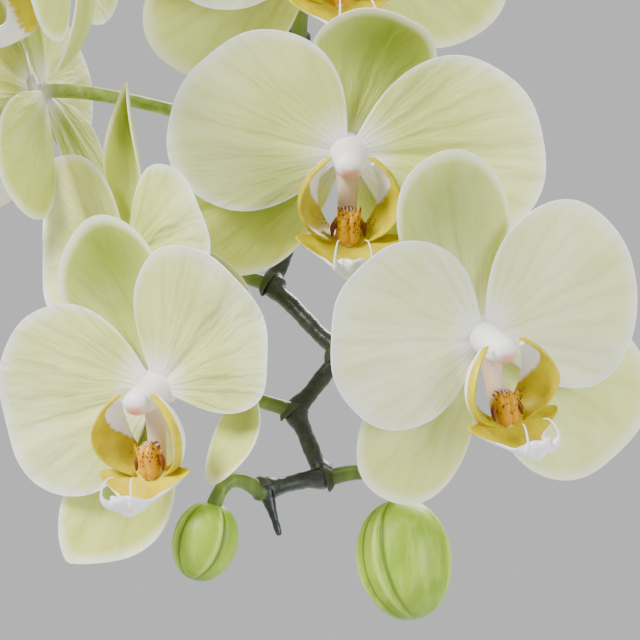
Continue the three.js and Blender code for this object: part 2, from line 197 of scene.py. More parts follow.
for place, size, power, colour in (
    ((-1.05, -0.85, 1.60), 0.7, 76, "fffefa"),
    ((1.35, -1.05, 0.55), 1.0, 19, "f8faff"),
    ((0.60, 0.95, 1.30), 0.8, 32, "fffdf4"),
):
    lamp = bpy.data.lights.new("soft_lamp", "AREA")
    lamp.shape = "DISK"
    lamp.size = size
    lamp.energy = power
    lamp.color = tone(colour)[:3]
    stand_in = bpy.data.objects.new("soft_lamp", lamp)
    stand_in.location = place
    stand_in.rotation_euler = (spray - Vector(place)).to_track_quat("-Z", "Y").to_euler()
    bpy.context.scene.collection.objects.link(stand_in)


# The pot: plain red clay, thrown with a thick rolled rim, fired and left unglazed. It has a flat
# foot, faint turning lines, and pale lime where water has dried through the clay.

MM = 0.001


def piece(name, shells, material, replaces=(), smooth=True):
    """One mesh in the row's frame made of closed shells, given in millimetres with the marks they carry."""
    points = [np.asarray(shell[0], float).reshape(-1, 3) for shell in shells]
    starts = np.cumsum([0] + [len(p) for p in points])
    faces = [tuple(int(first) + i for i in face) for first, shell in zip(starts, shells) for face in shell[1]]
    marks = {key: np.zeros(starts[-1]) for shell in shells for key in shell[2]}
    for first, last, shell in zip(starts, starts[1:], shells):
        for key, value in shell[2].items():
            marks[key][first:last] = value
    mesh = bpy.data.meshes.new(name)
    mesh.from_pydata(np.concatenate(points) * MM, [], faces)
    mesh.polygons.foreach_set("use_smooth", [smooth] * len(mesh.polygons))
    for key, values in marks.items():
        mesh.attributes.new(key, "FLOAT", "POINT").data.foreach_set("value", values.astype(np.float32))
    mesh.materials.append(material)
    made = bpy.data.objects.new(name, mesh)
    bpy.context.scene.collection.objects.link(made)
    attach(made, "root")
    if replaces:
        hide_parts(*replaces)


def skin(rows, columns, around=True, capped=False):
    """Faces over a grid of points, row after row; around joins each row's last point to its first."""
    faces = []
    for i in range(rows - 1):
        for j in range(columns if around else columns - 1):
            k = (j + 1) % columns
            faces.append((i * columns + j, i * columns + k, (i + 1) * columns + k, (i + 1) * columns + j))
    if capped:
        faces.append(tuple(reversed(range(columns))))
        faces.append(tuple(range((rows - 1) * columns, rows * columns)))
    return faces


def turned(profile, sides, wobble=0.0):
    """A closed body of revolution. The profile is a list of (radius, height) from the axis back to it."""
    angle = full_turn(sides)
    sway = 1 + wobble * (np.sin(2 * angle + 0.7) + 0.6 * np.sin(3 * angle + 2.1))
    across, deep = sway * np.cos(angle), sway * np.sin(angle)
    rows = [np.stack([r * across, r * deep, np.full(sides, z)], 1) for r, z in profile]
    return np.concatenate(rows), skin(len(rows), sides, capped=True)


def rounded(corners, radius):
    """A line of (radius, height) corners with each inner corner rounded."""
    line = [corners[0]]
    for before, corner, after in zip(corners, corners[1:], corners[2:]):
        before, corner, after = (np.array(p, float) for p in (before, corner, after))
        back, on = before - corner, after - corner
        cut = min(radius, np.linalg.norm(back) * 0.45, np.linalg.norm(on) * 0.45)
        start = corner + back / np.linalg.norm(back) * cut
        end = corner + on / np.linalg.norm(on) * cut
        for t in np.linspace(0, 1, 5):
            line.append(tuple((1 - t) ** 2 * start + 2 * t * (1 - t) * corner + t * t * end))
    line.append(corners[-1])
    return line


pot_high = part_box("pot")[1]
pot_height = pot_high.z / MM
rim_radius = pot_high.x / MM
wall, foot_radius, rim_height = 5.5, 44.0, 24.0
shoulder = pot_height - rim_height
outside = [
    (0.02, 0), (foot_radius, 0), (rim_radius - 4.5, shoulder - 0.6), (rim_radius - 0.6, shoulder),
    (rim_radius, shoulder + 9), (rim_radius - 0.4, pot_height), (rim_radius - wall, pot_height),
    (rim_radius - wall - 2.4, pot_height - 5), (foot_radius - wall, 7), (0.02, 7),
]
pot_line = rounded(outside, 2.2)
fine_line = []
for (r0, z0), (r1, z1) in zip(pot_line, pot_line[1:]):
    steps = max(1, int(math.hypot(r1 - r0, z1 - z0) / 5))
    fine_line += [(r0 + (r1 - r0) * t / steps, z0 + (z1 - z0) * t / steps) for t in range(steps)]
fine_line.append(pot_line[-1])


def clay_paint(start):
    place = start.node("TexCoord", output="Object")
    height = place.node("SeparateXYZ", {}, {0: place}, "Z")
    cloud = start.noise(22, 5)
    grain = start.noise(900)
    lines = start.noise(240, 4, stretch=(0.06, 0.06, 1.0))
    lime = (start.noise(34, 6, roughness=0.65) * 0.7 + lines * 0.3).rise(0.5, 0.66) * height.rise(0.03, 0.1)
    fired = cloud.blend("a9582f", "c37a4e")
    speckled = grain.rise(0.62, 0.78).tint(fired, "8c4526")
    colour = (lime * 0.42).tint(speckled, "dccbb8")
    return colour, 0.78 + cloud * 0.16, start.bumps(lines * 0.6 + grain * 0.4, 0.0007, 0.7)


clay = finish("clay", clay_paint, 0.25)
pot_points, pot_faces = turned(fine_line, 144, 0.0016)
piece("clay_pot", [(pot_points, pot_faces, {})], clay, ["pot"])


# The bed: chunks of fir bark heaped to just below the rim, each a rough wedge split along its grain,
# over a packed bed of the same bark.

random.seed(7)
bed_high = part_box("bark_bed")[1]
bed_radius = bed_high.x / MM
bed_top = bed_high.z / MM
chipped = (
    (-0.5, -0.34), (-0.36, -0.5), (0.3, -0.5), (0.5, -0.3),
    (0.5, 0.36), (0.34, 0.5), (-0.32, 0.5), (-0.5, 0.3),
)


def chunk(centre, length, width, depth, heading, tip, roll):
    """One chunk of bark: a rough block with chipped corners."""
    corners = []
    for z in (-0.5, 0.5):
        for x, y in chipped:
            rough = [1 + random.uniform(-0.16, 0.16) for _ in range(3)]
            corners.append((x * length * rough[0], y * width * rough[1], z * depth * rough[2]))
    for z in (-0.62, 0.62):
        corners.append((random.uniform(-0.1, 0.1) * length, random.uniform(-0.1, 0.1) * width, z * depth))
    faces = [(j, (j + 1) % 8, (j + 1) % 8 + 8, j + 8) for j in range(8)]
    faces += [(16, (j + 1) % 8, j) for j in range(8)] + [(17, j + 8, (j + 1) % 8 + 8) for j in range(8)]
    turn = Matrix.Rotation(heading, 3, "Z") @ Matrix.Rotation(tip, 3, "Y") @ Matrix.Rotation(roll, 3, "X")
    points = np.array([turn @ Vector(c) for c in corners]) + np.array(centre)
    return points, faces, {"shade": random.random()}


bed_line = rounded([
    (0.02, 9), (foot_radius - wall - 2, 9), (bed_radius - 1, bed_top - 6), (bed_radius * 0.55, bed_top - 3.4),
    (0.02, bed_top - 2.5),
], 3)
bed_points, bed_faces = turned(bed_line, 64)
chunks = [(bed_points, bed_faces, {"shade": 0.2})]
chunk_count, crown_room = 430, 9.5
for number in range(chunk_count):
    reach = (bed_radius - 5.5) * math.sqrt(random.random())
    around = random.uniform(0, 2 * math.pi)
    if reach < crown_room:
        continue
    long = random.uniform(7, 15) * (0.72 if reach > bed_radius - 12 else 1)
    level = bed_top - 4.6 - 3.0 * (reach / bed_radius) ** 2 + random.uniform(-1.2, 2.2)
    chunks.append(chunk(
        (reach * math.cos(around), reach * math.sin(around), level), long, long * random.uniform(0.5, 0.85),
        random.uniform(2.6, 5), random.uniform(0, 6.28), random.uniform(-0.5, 0.5), random.uniform(-0.5, 0.5),
    ))


def bark_paint(start):
    shade, = start.marks("shade")
    fibre = start.noise(420, 5, stretch=(1, 0.3, 1), roughness=0.7)
    cloud = start.noise(120)
    dark = shade.tint("3a2518", "7a5133")
    colour = fibre.rise(0.42, 0.7).tint(dark, "946844")
    colour = (cloud.rise(0.55, 0.75) * 0.5).tint(colour, "2a1b12")
    return colour, 0.86 + cloud * 0.1, start.bumps(fibre, 0.0012, 0.9)


bark = finish("bark", bark_paint, 0.2)
piece("bark_chunks", chunks, bark, ["bark_bed"], smooth=False)


# The crown and its roots: a short thick stem ringed by the feet of old leaves, with round roots as thick
# as a pencil. Dry roots are silver-grey over green, and a growing root ends in a clear green tip.


def run_along(line):
    """How far along a line of points each of them is."""
    return np.concatenate([[0], np.cumsum(np.linalg.norm(np.diff(line, axis=0), axis=1))])


def smooth_line(points, count):
    """A smooth line through the points, as so many evenly spaced points."""
    points = np.asarray(points, float)
    ends = np.vstack([2 * points[0] - points[1], points, 2 * points[-1] - points[-2]])
    fine = []
    for a, b, c, d in zip(ends, ends[1:], ends[2:], ends[3:]):
        t1 = max(np.linalg.norm(b - a), 1e-6) ** 0.5
        t2 = t1 + max(np.linalg.norm(c - b), 1e-6) ** 0.5
        t3 = t2 + max(np.linalg.norm(d - c), 1e-6) ** 0.5
        for t in np.linspace(t1, t2, 24, endpoint=False):
            ab = a * (t1 - t) / t1 + b * t / t1
            bc = b * (t2 - t) / (t2 - t1) + c * (t - t1) / (t2 - t1)
            cd = c * (t3 - t) / (t3 - t2) + d * (t - t2) / (t3 - t2)
            abc = ab * (t2 - t) / t2 + bc * t / t2
            bcd = bc * (t3 - t) / (t3 - t1) + cd * (t - t1) / (t3 - t1)
            fine.append(abc * (t2 - t) / (t2 - t1) + bcd * (t - t1) / (t2 - t1))
    fine = np.array(fine + [points[-1]])
    run = run_along(fine)
    wanted = np.linspace(0, run[-1], count)
    return np.stack([np.interp(wanted, run, fine[:, k]) for k in range(3)], 1)


def limb(line, radius, sides):
    """A closed round limb along a line of points, with a radius at each point and rounded ends."""
    line = np.asarray(line, float)
    radius = np.broadcast_to(np.asarray(radius, float), (len(line),)).copy()
    ahead = np.gradient(line, axis=0)
    ahead /= np.linalg.norm(ahead, axis=1, keepdims=True)
    side = np.cross(ahead[0], (0.3, 0.9, 0.2))
    sides_on = []
    for direction in ahead:
        side = side - direction * side.dot(direction)
        side /= np.linalg.norm(side)
        sides_on.append(side)
    angle = full_turn(sides)
    rows, run = [], []
    stations = [(0, -0.92, 0.38), (0, -0.6, 0.8)]
    stations += [(i, 0, 1.0) for i in range(len(line))]
    stations += [(len(line) - 1, 0.6, 0.8), (len(line) - 1, 0.92, 0.38)]
    for i, shift, swell in stations:
        across = np.cross(ahead[i], sides_on[i])
        centre = line[i] + ahead[i] * radius[i] * shift
        circle = sides_on[i] * np.cos(angle)[:, None] + across * np.sin(angle)[:, None]
        rows.append(centre + circle * radius[i] * swell)
        run.append(np.full(sides, i / (len(line) - 1)))
    return np.concatenate(rows), skin(len(rows), sides, capped=True), {"run": np.concatenate(run)}


crown_steps, root_steps = 30, 90
crown_line = [(0, 0, z) for z in np.linspace(106, 138, crown_steps)]
crown_height = np.linspace(0, 1, crown_steps)
crown_radius = 8.6 - 4.2 * crown_height ** 2 + 0.45 * np.abs(np.sin(crown_height * 5.5 * math.pi))
crown_points, crown_faces, crown_marks = limb(crown_line, crown_radius, 32)
crown_marks["green"] = crown_marks.pop("run") * 0.9
roots = [
    [
        (250, 5, 112), (252, 26, 108), (256, 46, 112), (260, 61, 123), (262, 72, 119), (263, 75, 97),
        (266, 74, 76),
    ],
    [(300, 5, 111), (305, 24, 107.6), (312, 40, 108.5), (322, 50, 107.6)],
    [(110, 5, 112), (105, 28, 108), (98, 48, 113), (94, 61, 124), (92, 72, 119), (90, 75, 100)],
    [(60, 5, 110), (52, 24, 107.6), (40, 40, 107.6), (30, 50, 107.4)],
]
root_shells = [(crown_points, crown_faces, crown_marks)]
for number, route in enumerate(roots):
    stops = [(d * math.cos(math.radians(h)), d * math.sin(math.radians(h)), z) for h, d, z in route]
    line = smooth_line(stops, root_steps)
    share = np.linspace(0, 1, root_steps)
    knots = 0.16 * np.sin(share * 23 + number) + 0.1 * np.sin(share * 61 + 2 * number)
    radius = (2.7 + knots) * (1 - 0.35 * share.clip(0.9, 1) * (share > 0.9) * (share - 0.9) * 10)
    points, faces, marks = limb(line, radius, 20)
    marks["green"] = (marks.pop("run") - 0.93).clip(0, 1) / 0.07 if len(route) > 4 else np.zeros(len(points))
    root_shells.append((points, faces, marks))


def root_paint(start):
    green, = start.marks("green")
    cloud = start.noise(160, 4)
    fine = start.noise(1400)
    silver = cloud.rise(0.35, 0.65).tint("b9bda6", "8e9a78")
    silver = fine.rise(0.6, 0.75).tint(silver, "77805f")
    colour = green.rise(0.1, 0.8).tint(silver, "7d9a3c")
    return colour, 0.8 - green * 0.35, start.bumps(fine * 0.5 + cloud * 0.5, 0.0006, 0.6)


root_skin = finish("root", root_paint, 0.35)
piece("crown_with_roots", root_shells, root_skin, ["crown_and_roots"])


# The leaves: five thick straps in two ranks, oldest lowest. Each clasps the crown with a narrow folded
# foot, widens, and arches under its own weight. The face is glossy dark green with a sunk midrib.


def unit(x):
    """The number, held between 0 and 1."""
    return np.clip(x, 0, 1)


def bell(x, middle, width):
    """1 at the middle, falling away on both sides."""
    return np.exp(-((x - middle) / width) ** 2)


def headed(heading):
    """The level directions out along a heading and to its left."""
    east, north = math.cos(heading), math.sin(heading)
    return np.array((east, north, 0)), np.array((-north, east, 0))


def even_bend(length, start, turn, share):
    """How far along and how far up a strip runs when it bends evenly through an angle."""
    turn = np.where(np.abs(turn) < 1e-4, 1e-4, turn)
    now = start + turn * share
    return length * (np.sin(now) - np.sin(start)) / turn, length * (np.cos(start) - np.cos(now)) / turn


def sheet(surface, thickness, rows, columns, marks):
    """A closed thin sheet: surface(u, v) is its middle, with u from 0 to 1 and v from -1 to 1. A mark is
    worked out from u and v, and a pair of marks gives the two faces their own."""
    step_u = np.sin(np.linspace(0, 1, rows) * math.pi / 2) ** 0.9
    step_v = np.sin(np.linspace(-1, 1, columns) * math.pi / 2)
    u, v = np.meshgrid(step_u, step_v, indexing="ij")
    middle = surface(u, v)
    e = 1e-4
    along = surface(np.minimum(u + e, 1), v) - surface(u - e, v)
    across = surface(u, np.minimum(v + e, 1)) - surface(u, np.maximum(v - e, -1))
    normal = np.cross(along, across)
    normal /= np.linalg.norm(normal, axis=2, keepdims=True) + 1e-12
    half = thickness(u, v)[..., None] / 2
    points = np.concatenate([(middle + normal * half * way).reshape(-1, 3) for way in (1, -1)])
    count = rows * columns
    faces = []
    for i in range(rows - 1):
        for j in range(columns - 1):
            a, b = i * columns + j, (i + 1) * columns + j
            faces.append((a, b, b + 1, a + 1))
            faces.append((count + a, count + a + 1, count + b + 1, count + b))
    edge = [(0, j) for j in range(columns)] + [(i, columns - 1) for i in range(1, rows)]
    edge += [(rows - 1, j) for j in range(columns - 2, -1, -1)] + [(i, 0) for i in range(rows - 2, 0, -1)]
    loop = [i * columns + j for i, j in edge]
    for a, b in zip(loop, loop[1:] + loop[:1]):
        faces.append((a, b, count + b, count + a))
    held = {}
    for key, value in marks.items():
        upper, lower = value if isinstance(value, tuple) else (value, value)
        held[key] = np.concatenate([upper(u, v).reshape(-1), lower(u, v).reshape(-1)])
    held["face"] = np.concatenate([np.ones(count), np.zeros(count)])
    return points, faces, held


leaves = [
    dict(heading=196, length=176, width=74, foot=116, rise=26, fall=-38),
    dict(heading=6, length=196, width=80, foot=120, rise=32, fall=-34),
    dict(heading=172, length=186, width=78, foot=126, rise=44, fall=-22),
    dict(heading=-16, length=158, width=70, foot=131, rise=54, fall=2),
    dict(heading=186, length=92, width=44, foot=137, rise=74, fall=44),
]


def leaf_outline(u):
    tip = np.sqrt(unit(1 - ((u - 0.5) / 0.503) ** 2))
    foot = 0.3 + 0.7 * np.sin(unit(u) * math.pi) ** 0.9
    return np.where(u > 0.5, tip, foot)


def leaf_surface(leaf, number):
    heading, start = math.radians(leaf["heading"]), math.radians(leaf["rise"])
    turn = math.radians(leaf["fall"] - leaf["rise"])
    out, side = headed(heading)
    up = np.array((0, 0, 1))

    def surface(u, v):
        run, climb = even_bend(leaf["length"], start, turn, u)
        slope = start + turn * u
        half = leaf["width"] / 2 * leaf_outline(u)
        channel = np.radians(40 + (9 - 40) * np.minimum(u * 2.5, 1))
        lift = half * np.sin(channel) * (np.sqrt(v * v + 0.006) - 0.08)
        lift += 0.9 * np.sin(u * 9 + number * 2) * v ** 3 - 0.9 * bell(v, 0, 0.05) * (u < 0.97)
        return (
            out * (11 + run - lift * np.sin(slope))[..., None]
            + side * (half * v * np.cos(channel))[..., None]
            + up * (leaf["foot"] + climb + lift * np.cos(slope))[..., None]
        )

    return surface


def leaf_paint(start):
    across, along, face = start.marks("across", "along", "face")
    veins = start.node("CombineXYZ", {}, {0: across * 36, 1: along * 2.2, 2: face * 7})
    lines = start.noise(1.0, place=veins)
    cloud = start.noise(28, 4)
    green = cloud.blend("264d1f", "3d6b2c")
    green = (lines.rise(0.45, 0.7) * 0.35).tint(green, "547f3a")
    rib = 1 - across.maths("ABSOLUTE", across).rise(0.0, 0.045)
    green = (rib * 0.6).tint(green, "7fa04e")
    edge = across.maths("ABSOLUTE", across).rise(0.93, 1.0)
    green = (edge * 0.55).tint(green, "6f7d3c")
    under = cloud.tint("5d7d3f", "6f6b4c")
    return face.tint(under, green), 0.3 + cloud * 0.16, start.bumps(lines, 0.0005, 0.45)


leaf_skin = finish("leaf", leaf_paint, 0.5, glow=0.08, spread=(0.4, 1.0, 0.2), deep=0.002)
for number, leaf in enumerate(leaves):
    blade = sheet(
        leaf_surface(leaf, number),
        lambda u, v: 0.7 + 1.9 * (1 - np.abs(v) ** 3) * (1 - 0.5 * u ** 4),
        72, 44,
        {"across": lambda u, v: v, "along": lambda u, v: u},
    )
    piece(f"strap_leaf_{number + 1}", [blade], leaf_skin, [f"leaf_{number + 1}"])


# The flower spike: one tough stalk that climbs from beside the crown, arches over and hangs, then steps
# from side to side at each joint where a flower leaves it. A dry papery scale clasps every joint.

stalk = [
    (2, 19, 118), (4, 24, 150), (8, 24, 230), (6, 22, 330), (10, 19, 420), (32, 17, 500), (78, 14, 551),
    (122, 10, 546),
]
joints = dict(
    seventh=(149, 4, 503), sixth=(159, 0, 476), fifth=(150, -12, 449), fourth=(160, -22, 430),
    third=(153, -36, 409), second=(170, -48, 391), first=(159, -54, 377), large_bud=(165.5, -60, 361),
    small_bud=(151.5, -66, 358),
)
spike_tip = (154.8, -68, 347.4)


def between(a, b, share):
    return tuple(np.array(a, float) + share * (np.array(b, float) - np.array(a, float)))


arch_steps, tip_steps = 260, 24
arch = smooth_line(stalk + [joints["seventh"]], arch_steps)
joint_places = list(joints.values())
stepped = []
for here, onward in zip(joint_places, joint_places[1:]):
    stepped += [here, between(here, onward, 0.3), between(here, onward, 0.7)]
axis_line = smooth_line(stepped + [joint_places[-1]], arch_steps)
tip_line = smooth_line([joint_places[-1], between(joint_places[-1], spike_tip, 0.5), spike_tip], tip_steps)
spike_line = np.concatenate([arch, axis_line[1:], tip_line[1:]])
spike_run = run_along(spike_line)
spike_radius = np.interp(
    np.arange(len(spike_line)), [0, 200, 259, 330, 518, 519, 541], [3.1, 2.9, 2.6, 2.2, 2.05, 1.5, 0.75],
)
bare_joints = [arch[int((arch_steps - 1) * share)] for share in (0.2, 0.42, 0.66)]
knots = [(place, 1.0) for place in bare_joints] + [(np.array(place, float), 1.15) for place in joint_places]
for place, swell in knots:
    near = np.argmin(np.linalg.norm(spike_line - place, axis=1))
    spike_radius += swell * bell(spike_run, spike_run[near], 2.6)
spike_radius += 0.07 * np.sin(spike_run * 0.9) + 0.05 * np.sin(spike_run * 2.3 + 1)
spike_points, spike_faces, spike_marks = limb(spike_line, spike_radius, 24)
spike_shells = [(spike_points, spike_faces, {"dry": 0.0, "high": spike_marks["run"]})]


def scale_leaf(place, down, out, size):
    """A small pointed scale that clasps the stalk below a joint."""
    down = np.array(down, float) / np.linalg.norm(down)
    out = np.array(out, float) - down * np.dot(out, down)
    out /= np.linalg.norm(out)
    side = np.cross(down, out)

    def surface(u, v):
        wide = 1.5 * (1 - u ** 1.8) ** 0.7 * v
        round_it = 3.15 + 0.55 * np.sin(u * 3) + 0.2 * u
        return (
            np.array(place) + out * (round_it * np.cos(wide))[..., None]
            + side * (round_it * np.sin(wide))[..., None] - down * (size * (u - 0.35))[..., None]
        )

    points, faces, _ = sheet(surface, lambda u, v: 0.5 - 0.3 * u, 14, 12, {})
    return points, faces, {"dry": 1.0, "high": 0.5}


for place, swell in knots:
    near = int(np.argmin(np.linalg.norm(spike_line - place, axis=1)))
    onward = spike_line[max(near - 6, 0)] - spike_line[min(near + 6, len(spike_line) - 1)]
    outward = (1, -0.4, -0.3) if near % 2 else (-1, -0.5, -0.3)
    spike_shells.append(scale_leaf(spike_line[near], onward, outward, 5 if swell > 1.1 else 11))


def spike_paint(start):
    dry, high = start.marks("dry", "high")
    streak = start.noise(260, 5, roughness=0.7)
    speck = start.noise(1500)
    dark = streak.rise(0.35, 0.75).tint("24282a", "40464a")
    low = streak.blend("3c4f2a", "55623b")
    colour = high.rise(0.1, 0.55).tint(low, dark)
    colour = (speck.rise(0.6, 0.72) * 0.3).tint(colour, "6c716c")
    colour = (start.noise(90).rise(0.52, 0.7) * 0.4).tint(colour, "4d3f45")
    colour = (dry * (0.6 + speck * 0.4)).tint(colour, "4e4c3c")
    return colour, 0.24 + streak * 0.2 + dry * 0.35, start.bumps(speck * 0.5 + streak * 0.5, 0.0003, 0.6)


spike_skin = finish("spike", spike_paint, 0.5)
piece("flower_stalk", spike_shells, spike_skin, ["flower_spike"])


# The sepals and petals: thin living sheets, three narrow sepals behind and two broad petals in front of
# them. Each grows from a narrow claw beside the column, is a little ruffled at its rim and is veined.

flat = dict(twist=0, sweep=0, point=0)
dorsal = dict(
    flat, length=47.5, left=37, right=37, blunt=0.36, heading=90, layer=-1.8, tilt=-9, bend=20, cup=22,
)
side_sepal = dict(
    flat, length=48, left=37, right=37, blunt=0.38, heading=-43, layer=-1.8, tilt=-10, bend=12, cup=8,
)
petal = dict(
    flat, length=46.5, left=78, right=57, blunt=0.44, heading=8, layer=0.9, tilt=1, bend=-7, cup=6,
)
# Each flower's ripe value sets how deep the cream and green of its sepals and petals run. This is partly the
# flower's own tint and partly painted light: paler on a flower that faces the lamp, deeper on one in shade.
flowers = [
    dict(
        joint="first", ripe=0.7, at=(125.4, -74, 383.6), yaw=-30, nod=8, lean=22, size=1, lip_lean=-20,
        dorsal_sepal=dict(heading=94, length=45.5),
        left_petal=dict(length=49.5, heading=174, left=50, right=74),
        right_petal=dict(tilt=5, bend=20, length=45, left=70, heading=14),
        left_lateral_sepal=dict(heading=212, length=57, point=0.5, left=42, right=24, tilt=-6, blunt=0.42),
        right_lateral_sepal=dict(
            heading=-25, length=45, bend=18, tilt=-5, cup=22, twist=40, sweep=-124, layer=-3.2, left=20,
            right=18,
        ),
    ),
    dict(
        joint="second", ripe=0.15, at=(204.6, -76, 395.8), yaw=27, nod=5, lean=12, size=1,
        dorsal_sepal=dict(heading=95), left_petal=dict(length=42, left=62),
        right_petal=dict(length=47.5, left=70),
        left_lateral_sepal=dict(heading=226, length=46),
        right_lateral_sepal=dict(heading=-35, length=56, tilt=-9, layer=-2.6, right=50),
    ),
    dict(
        joint="third", ripe=0.8, at=(116.6, -46, 415.6), yaw=-62, nod=4, lean=3, size=1,
        dorsal_sepal=dict(cup=40, twist=-16, tilt=-4, bend=8, layer=-2.6, length=45, left=42, right=36),
        left_petal=dict(tilt=11, length=45), right_petal=dict(length=42, left=55),
        right_lateral_sepal=dict(heading=-34, length=45, tilt=-24),
    ),
    dict(
        joint="fourth", ripe=0.75, at=(171.8, -54, 442.1), yaw=4, nod=8, lean=0, size=1.05,
        dorsal_sepal=dict(heading=72, length=39, left=46, right=42, tilt=-35, bend=84, cup=12, layer=-2.6),
        left_petal=dict(length=43.5, heading=169, left=53),
        right_petal=dict(length=48.5, heading=-2, left=64),
        left_lateral_sepal=dict(heading=203, length=48, left=46),
    ),
    dict(
        joint="fifth", ripe=0.9, at=(91, -28, 459.5), yaw=-110, nod=10, lean=0, size=0.96,
        left_petal=dict(tilt=8), left_lateral_sepal=dict(heading=229, length=39),
    ),
    dict(
        joint="sixth", ripe=0.35, at=(166.5, -33, 506), yaw=16, nod=10, lean=6, size=1.1,
        left_petal=dict(heading=183, length=44, tilt=6, left=56),
        left_lateral_sepal=dict(heading=219, length=52), right_lateral_sepal=dict(heading=-32, length=52),
    ),
    dict(
        joint="seventh", ripe=0.7, at=(99, -58, 498), yaw=-104, nod=8, lean=10, size=0.98,
        left_lateral_sepal=dict(heading=244, tilt=-20, bend=76, length=42, left=28, layer=-2.8),
    ),
]


def mirrored(shape):
    return dict(
        shape, heading=180 - shape["heading"], left=shape["right"], right=shape["left"],
        twist=-shape["twist"], sweep=-shape["sweep"],
    )


def swung(share):
    """How much of a sheet's turn in its own plane is done by then: it turns about its middle."""
    t = unit((share - 0.3) / 0.4)
    return t * t * (3 - 2 * t)


def swept(length, turn, share):
    """How far ahead and aside a line runs that is straight at both ends and turns about its middle."""
    angles = turn * swung((np.arange(24) + 0.5) / 24 * share[..., None])
    return length * share * np.cos(angles).mean(-1), length * share * np.sin(angles).mean(-1)


def tepal_surface(shape, ruffle, seed):
    """The middle of a sepal or petal in its flower's frame: x to the right, y up, z outwards."""
    angles = ("heading", "tilt", "bend", "cup", "sweep", "twist")
    heading, tilt, bend, cup, sweep, twist = (math.radians(shape[key]) for key in angles)
    out, side = headed(heading)
    front = np.array((0, 0, 1))
    length, claw = shape["length"], 1.2
    rng = random.Random(seed)
    waves = [(rng.uniform(0, 6.28), k, a) for k, a in ((2, 0.5), (3.3, 0.4), (5.1, 0.34), (8.3, 0.16))]

    def fan_of(v):
        return np.radians(np.where(v > 0, shape["left"], shape["right"])) * v

    def outline(v):
        fan = fan_of(v)
        pointed = 1 - shape["point"] * np.abs(np.sin(fan)) * bell(fan, 0, 0.5)
        return np.cos(math.pi / 2 * 0.985 * v) ** shape["blunt"] * pointed

    def surface(u, v):
        fan = fan_of(v)
        uneven = 0.01 * np.sin(5 * fan + waves[0][0]) + 0.006 * np.sin(13 * fan + waves[1][0])
        reach = length * outline(v) * (1 + uneven)
        r = claw + (reach - claw) * u
        share = r * np.cos(fan) / length
        run, rise = even_bend(length, tilt, bend, share)
        half = length / 2
        across = r * np.sin(fan)
        width, lift = even_bend(half, 0.0, cup, np.abs(across) / half)
        slope = tilt + bend * share
        turn = twist * share
        sideways = np.sign(across) * width
        frill = sum(a * np.sin(k * fan * 1.6 + p + 1.3 * share) for p, k, a in waves)
        lift = lift + ruffle * frill * np.clip(r / length, 0, 1.1) ** 2.2
        spine = bell(across, 0, 1.0 + 1.6 * share) * unit(1.1 - share) * np.minimum(share * 6, 1)
        lift = lift - 0.9 * spine
        across2 = sideways * np.cos(turn) - lift * np.sin(turn)
        lift2 = sideways * np.sin(turn) + lift * np.cos(turn)
        gone = (run - lift2 * np.sin(slope)) / length
        ahead, aside = swept(length, sweep, gone)
        angle = sweep * swung(gone)
        return (
            out * (ahead - across2 * np.sin(angle))[..., None]
            + side * (aside + across2 * np.cos(angle))[..., None]
            + front * (shape["layer"] + rise + lift2 * np.cos(slope))[..., None]
        )

    return surface, {
        "rim": lambda u, v: (1 - u) * (outline(v) - claw / length),
        "reach": lambda u, v: claw / length + (outline(v) - claw / length) * u,
        "fan": lambda u, v: fan_of(v),
    }


def stand(at, yaw, nod, lean, size):
    """Where a flower's own frame stands in the row's frame, in millimetres."""
    turn = Matrix.Rotation(math.radians(yaw), 4, "Z") @ Matrix.Rotation(math.radians(90 + nod), 4, "X")
    return Matrix.Translation(at) @ turn @ Matrix.Rotation(math.radians(lean), 4, "Z") @ Matrix.Scale(size, 4)


def placed(matrix, shell):
    points, faces, marks = shell
    m = np.array(matrix)
    return np.asarray(points) @ m[:3, :3].T + m[:3, 3], faces, marks


def veins(start, count):
    """Fine veins that fan out from the claw and wander a little."""
    fan, reach = start.marks("fan", "reach")
    wander = start.noise(1.0, 2, place=start.node("CombineXYZ", {}, {0: fan * 3, 1: reach * 4, 2: 0.0}))
    wave = start.maths("SINE", fan * count + wander * 7)
    finer = start.maths("SINE", fan * (count * 2.3) + wander * 11)
    return ((wave * 0.5 + 0.5) ** 4) * 0.7 + ((finer * 0.5 + 0.5) ** 3) * 0.3 * reach.rise(0.35, 0.7)


def folds(start):
    """Broad soft creases that run out from the claw, a few to a sheet; petals also get painted shade along
    them.
    """
    fan, reach = start.marks("fan", "reach")
    place = start.node("CombineXYZ", {}, {0: fan * 5, 1: reach * 1.6, 2: start.noise(9, 1) * 3})
    return start.noise(1.0, place=place).rise(0.3, 0.72) * reach.rise(0.12, 0.4)


def fine_skin(start, colour, cloud, vein, fold):
    """The soft sparkling surface that petals and sepals share."""
    sparkle = start.noise(2600, 2)
    return colour, 0.52 + cloud * 0.12, start.bumps(vein * 0.2 + sparkle * 0.12 + fold * 0.7, 0.0012, 0.7)


def petal_paint(start):
    rim, reach, ripe = start.marks("rim", "reach", "ripe")
    cloud = start.noise(55, 4)
    vein = veins(start, 34)
    fold = folds(start)
    pale = cloud.blend("f4f5d6", "e8edb4")
    deep = cloud.blend("d2d86c", "bac24c")
    # Painted light in part: the ripe value pales the cream on a flower that faces the lamp and deepens it on
    # one in shade.
    cream = (ripe * (1 - reach.rise(0.45, 1.0) * 0.6)).tint(pale, deep)
    colour = rim.rise(0.0, 0.09).tint("f0efdf", cream)
    colour = (vein * 0.34 * rim.rise(0.02, 0.12)).tint(colour, "c3c878")
    # Painted shade: the broad creases are tinted a deeper green here, as well as raised by the bump.
    colour = (fold * 0.35).tint(colour, "c2ca84")
    colour = (1 - reach.rise(0.04, 0.3)).tint(colour, "f6f1f2")
    colour = (1 - rim.rise(0.002, 0.014)).tint(colour, "fbfaf7")
    return fine_skin(start, colour, cloud, vein, fold)


